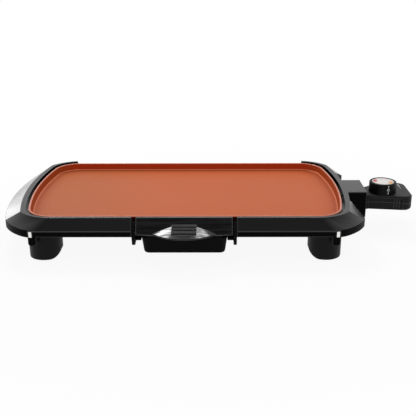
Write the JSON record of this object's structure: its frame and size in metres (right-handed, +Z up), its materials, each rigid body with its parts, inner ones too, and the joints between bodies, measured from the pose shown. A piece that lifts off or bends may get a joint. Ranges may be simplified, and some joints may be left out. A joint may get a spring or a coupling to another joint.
{
  "type": "electric griddle",
  "caption": "Countertop electric griddle with a coated cast plate in a black frame on feet, a slide-out drip tray at the front and a plug-in control with a turning knob at one end.",
  "frame": {"origin": "on the table, under the middle of the whole object's box", "axes": "+X along the length towards the plug-in control, -Y towards the front with the drip tray, +Z up"},
  "size_m": [0.6924, 0.358, 0.0815],
  "materials": {
    "plate": "cast aluminium with a copper-coloured ceramic non-stick coating",
    "frame_plastic": "glossy black",
    "fascia_plastic": "glossy black",
    "foot_plastic": "glossy black",
    "tray_plastic": "matte black",
    "case_plastic": "fine-textured black",
    "knob_plastic": "satin black",
    "dial_plastic": "white disc with coloured heat sectors",
    "pad_rubber": "matte",
    "gland_rubber": "matte",
    "element_steel": "oxidised sheath",
    "bright_steel": "turned steel",
    "screw_steel": "zinc-plated",
    "contact_brass": "satin",
    "ceramic": "unglazed steatite"
  },
  "bodies": {
    "base": {"base_frame": "frame_plastic", "griddle_plate": "plate", "heating_element": "element_steel", "terminal_pins": "bright_steel", "terminal_bushes": "ceramic", "front_left_foot": "foot_plastic", "front_right_foot": "foot_plastic", "rear_left_foot": "foot_plastic", "rear_right_foot": "foot_plastic", "foot_pads": "pad_rubber", "foot_screws": "screw_steel", "plate_screws": "screw_steel", "tray_guide": "tray_plastic", "guide_screws": "screw_steel", "frame_clips": "bright_steel"},
    "tray": {"drip_tray": "tray_plastic", "tray_front": "fascia_plastic", "tray_front_screws": "screw_steel"},
    "control": {"control_lower_case": "case_plastic", "control_upper_case": "case_plastic", "case_screws": "screw_steel", "sensing_rod": "bright_steel", "rod_collar": "bright_steel", "contact_sleeves": "contact_brass", "thermostat_bracket": "bright_steel", "ceramic_spacers": "ceramic", "fixed_contact_blade": "contact_brass", "moving_contact_blade": "contact_brass", "cord_gland": "gland_rubber"},
    "knob": {"temperature_knob": "knob_plastic", "dial_disc": "dial_plastic", "knob_spindle": "contact_brass"}
  },
  "joints": [
    {"name": "tray_slide", "type": "slide", "parent": "base", "child": "tray", "axis": [0, -1, 0], "range_m": [0, 0.095]},
    {"name": "control_slide", "type": "slide", "parent": "base", "child": "control", "axis": [1, 0, 0], "range_m": [0, 0.09]},
    {"name": "knob_turn", "type": "hinge", "parent": "control", "child": "knob", "pos_m": [0.29825, 0.012, 0.07], "axis": [0, 0, -1], "range_deg": [0, 270]}
  ]
}
